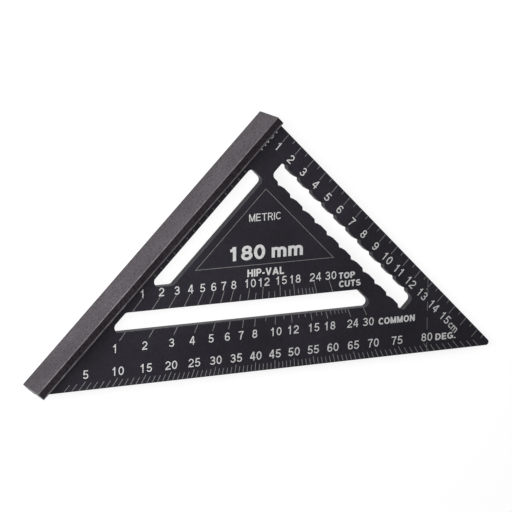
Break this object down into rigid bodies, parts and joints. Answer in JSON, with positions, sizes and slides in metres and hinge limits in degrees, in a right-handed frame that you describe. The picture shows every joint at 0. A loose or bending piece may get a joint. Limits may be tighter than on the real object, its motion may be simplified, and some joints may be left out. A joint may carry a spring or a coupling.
{
  "type": "speed square",
  "caption": "Right-angled aluminium roofing square: a slotted, graduated blade with a ruler edge and a hypotenuse, set in a T-shaped fence.",
  "frame": {"origin": "middle of the square's footprint, at the level of the fence's lower edge", "axes": "+X from the fence out along the ruler edge, +Y along the fence towards the ruler edge, +Z out of the blade's marked face"},
  "size_m": [0.186, 0.184, 0.0214],
  "materials": {
    "blade": "black anodised, satin",
    "fence": "dark grey anodised over a fine blasted face, satin",
    "marks": "light grey laser-marked lines and figures, matte"
  },
  "bodies": {
    "root": {"blade": "blade", "fence": "fence"}
  },
  "joints": []
}
